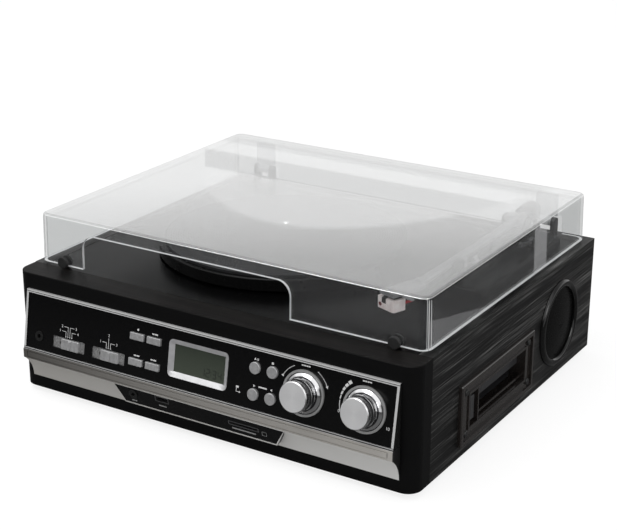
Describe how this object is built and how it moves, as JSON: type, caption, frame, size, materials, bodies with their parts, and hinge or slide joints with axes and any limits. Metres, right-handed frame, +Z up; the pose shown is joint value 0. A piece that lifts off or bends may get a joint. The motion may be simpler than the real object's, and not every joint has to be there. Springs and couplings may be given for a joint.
{
  "type": "record player",
  "caption": "Tabletop record player with radio, tape slot and card sockets, black wood case, silver front panel with two dials and a clear hinged cover.",
  "frame": {"origin": "middle of the whole outline, on the table under the feet", "axes": "+X to the right seen from the front, +Y to the back, +Z up"},
  "size_m": [0.3844, 0.361, 0.151],
  "materials": {
    "ash_side": "black ash grain, satin",
    "board_black": "painted black board",
    "foot_rubber": "matt",
    "front_black": "satin black",
    "silver_trim": "metallised, satin to bright",
    "panel_black": "gloss black",
    "slider_silver": "satin silver",
    "key_silver": "satin silver",
    "dial_silver": "spun aluminium look cap, dark gloss neck, bright skirt",
    "control_metal": "plain",
    "display_glass": "dark grey-green window",
    "board_green": "printed board",
    "jack_black": "black",
    "socket_metal": "plated",
    "deck_black": "gloss black",
    "platter_black": "satin black",
    "mat_rubber": "ribbed rubber",
    "spindle_steel": "polished",
    "motor_steel": "plain",
    "belt_rubber": "matt",
    "arm_silver": "silver grey",
    "weight_metal": "dark satin",
    "arm_black": "satin",
    "guard_white": "white",
    "cover_clear": "clear acrylic",
    "hinge_black": "satin",
    "tape_brown": "gloss brown-black",
    "tape_dark": "satin",
    "eject_grey": "grey",
    "screw_black": "blackened",
    "speaker_gloss": "gloss black",
    "grille_black": "satin black dome",
    "driver_black": "paper and steel, one solid"
  },
  "bodies": {
    "case": {"arm_plateau": "deck_black", "audio_jacks": "jack_black", "back_panel": "board_black", "base_board": "board_black", "case_screws": "screw_black", "control_board": "board_green", "control_panel": "panel_black", "data_sockets": "socket_metal", "deck_plate": "deck_black", "display_bezel": "silver_trim", "display_glass": "display_glass", "drive_belt": "belt_rubber", "front_moulding": "front_black", "hinge_brackets": "hinge_black", "motor": "motor_steel", "panel_trims": "silver_trim", "port_plate": "panel_black", "potentiometers": "control_metal", "rear_sockets": "jack_black", "rubber_feet": "foot_rubber", "side_panel_left": "ash_side", "side_panel_right": "ash_side", "speaker_drivers": "driver_black", "speaker_grilles": "grille_black", "speaker_rings": "speaker_gloss", "tape_bezel": "tape_brown", "tape_chassis": "tape_dark", "trim_frame": "silver_trim"},
    "cover": {"dust_cover": "cover_clear", "cover_bumpers": "foot_rubber", "hinge_arms": "hinge_black"},
    "turntable": {"platter": "platter_black", "platter_mat": "mat_rubber", "spindle": "spindle_steel"},
    "arm": {"tonearm": "arm_silver", "cartridge": "arm_black", "stylus_guard": "guard_white", "counterweight": "weight_metal"},
    "arm_lift": {"arm_lift": "arm_black"},
    "cue_lever": {"cue_lever": "arm_silver"},
    "arm_clip": {"arm_clip": "arm_silver"},
    "speed_lever": {"speed_lever": "arm_black"},
    "tuning_dial": {"tuning_dial": "dial_silver"},
    "volume_dial": {"volume_dial": "dial_silver"},
    "function_slider": {"function_slider": "slider_silver"},
    "band_slider": {"band_slider": "slider_silver"},
    "key_record": {"key_record": "key_silver"},
    "key_mode": {"key_mode": "key_silver"},
    "key_delete": {"key_delete": "key_silver"},
    "key_repeat": {"key_repeat": "key_silver"},
    "button_play": {"button_play": "key_silver"},
    "button_stop": {"button_stop": "key_silver"},
    "button_folder_down": {"button_folder_down": "key_silver"},
    "button_folder_up": {"button_folder_up": "key_silver"},
    "tape_door": {"tape_door": "tape_dark"},
    "eject_button": {"eject_button": "eject_grey"},
    "reel_hub_left": {"reel_hub_left": "eject_grey"},
    "reel_hub_right": {"reel_hub_right": "eject_grey"},
    "motor_pulley": {"motor_pulley": "platter_black"},
    "arm_yoke": {"arm_yoke": "arm_silver"}
  },
  "joints": [
    {"name": "cover_hinge", "type": "hinge", "parent": "case", "child": "cover", "pos_m": [0, 0.15505, 0.121], "axis": [-1, 0, 0], "range_deg": [0, 62]},
    {"name": "platter_spin", "type": "hinge", "parent": "case", "child": "turntable", "pos_m": [-0.028, 0.00715, 0.121], "axis": [0, 0, 1], "continuous": true},
    {"name": "pulley_spin", "type": "hinge", "parent": "case", "child": "motor_pulley", "pos_m": [-0.10767, 0.05315, 0.107], "axis": [0, 0, 1], "continuous": true},
    {"name": "arm_swing", "type": "hinge", "parent": "case", "child": "arm_yoke", "pos_m": [0.142, 0.10665, 0.134], "axis": [0, 0, -1], "range_deg": [0, 48]},
    {"name": "arm_pitch", "type": "hinge", "parent": "arm_yoke", "child": "arm", "pos_m": [0.142, 0.10665, 0.134], "axis": [-1, 0, 0], "range_deg": [0, 3.2]},
    {"name": "cue_turn", "type": "hinge", "parent": "case", "child": "cue_lever", "pos_m": [0.163, 0.09265, 0.1226], "axis": [-1, 0, 0], "range_deg": [0, 55]},
    {"name": "lift_slide", "type": "slide", "parent": "case", "child": "arm_lift", "axis": [0, 0, 1], "range_m": [0, 0.0022]},
    {"name": "clip_turn", "type": "hinge", "parent": "case", "child": "arm_clip", "pos_m": [0.1478, -0.00535, 0.134], "axis": [0, -1, 0], "range_deg": [0, 150]},
    {"name": "speed_slide", "type": "slide", "parent": "case", "child": "speed_lever", "axis": [0, 1, 0], "range_m": [0, 0.012]},
    {"name": "tuning_turn", "type": "hinge", "parent": "case", "child": "tuning_dial", "pos_m": [0.0968, -0.16285, 0.068], "axis": [0, -0.9852, 0.1713], "continuous": true},
    {"name": "volume_turn", "type": "hinge", "parent": "case", "child": "volume_dial", "pos_m": [0.1491, -0.16285, 0.068], "axis": [0, -0.9852, 0.1713], "range_deg": [-150, 150]},
    {"name": "function_slide", "type": "slide", "parent": "case", "child": "function_slider", "axis": [1, 0, 0], "range_m": [-0.01, 0.005]},
    {"name": "band_slide", "type": "slide", "parent": "case", "child": "band_slider", "axis": [1, 0, 0], "range_m": [-0.01, 0.005]},
    {"name": "key_record_press", "type": "slide", "parent": "case", "child": "key_record", "axis": [0, 0.9852, -0.1713], "range_m": [0, 0.0012], "stiffness_N_per_m": 400},
    {"name": "key_mode_press", "type": "slide", "parent": "case", "child": "key_mode", "axis": [0, 0.9852, -0.1713], "range_m": [0, 0.0012], "stiffness_N_per_m": 400},
    {"name": "key_delete_press", "type": "slide", "parent": "case", "child": "key_delete", "axis": [0, 0.9852, -0.1713], "range_m": [0, 0.0012], "stiffness_N_per_m": 400},
    {"name": "key_repeat_press", "type": "slide", "parent": "case", "child": "key_repeat", "axis": [0, 0.9852, -0.1713], "range_m": [0, 0.0012], "stiffness_N_per_m": 400},
    {"name": "button_play_press", "type": "slide", "parent": "case", "child": "button_play", "axis": [0, 0.9852, -0.1713], "range_m": [0, 0.0012], "stiffness_N_per_m": 400},
    {"name": "button_stop_press", "type": "slide", "parent": "case", "child": "button_stop", "axis": [0, 0.9852, -0.1713], "range_m": [0, 0.0012], "stiffness_N_per_m": 400},
    {"name": "button_folder_down_press", "type": "slide", "parent": "case", "child": "button_folder_down", "axis": [0, 0.9852, -0.1713], "range_m": [0, 0.0012], "stiffness_N_per_m": 400},
    {"name": "button_folder_up_press", "type": "slide", "parent": "case", "child": "button_folder_up", "axis": [0, 0.9852, -0.1713], "range_m": [0, 0.0012], "stiffness_N_per_m": 400},
    {"name": "door_turn", "type": "hinge", "parent": "case", "child": "tape_door", "pos_m": [0.18275, -0.0158, 0.0537], "axis": [0, 1, 0], "range_deg": [0, 80], "stiffness_Nm_per_rad": 0.002, "springref_deg": -17.19},
    {"name": "eject_press", "type": "slide", "parent": "case", "child": "eject_button", "axis": [-1, 0, 0], "range_m": [0, 0.006], "stiffness_N_per_m": 250},
    {"name": "reel_right_spin", "type": "hinge", "parent": "case", "child": "reel_hub_right", "pos_m": [0.15745, -0.0158, 0.02725], "axis": [0, 0, 1], "continuous": true},
    {"name": "reel_left_spin", "type": "hinge", "parent": "case", "child": "reel_hub_left", "pos_m": [0.11495, -0.0158, 0.02725], "axis": [0, 0, 1], "continuous": true}
  ],
  "couplings": [
    {"joint": "pulley_spin", "follows": "platter_spin", "ratio": 12.5},
    {"joint": "cue_turn", "follows": "lift_slide", "rad_per_m": 436.3}
  ]
}
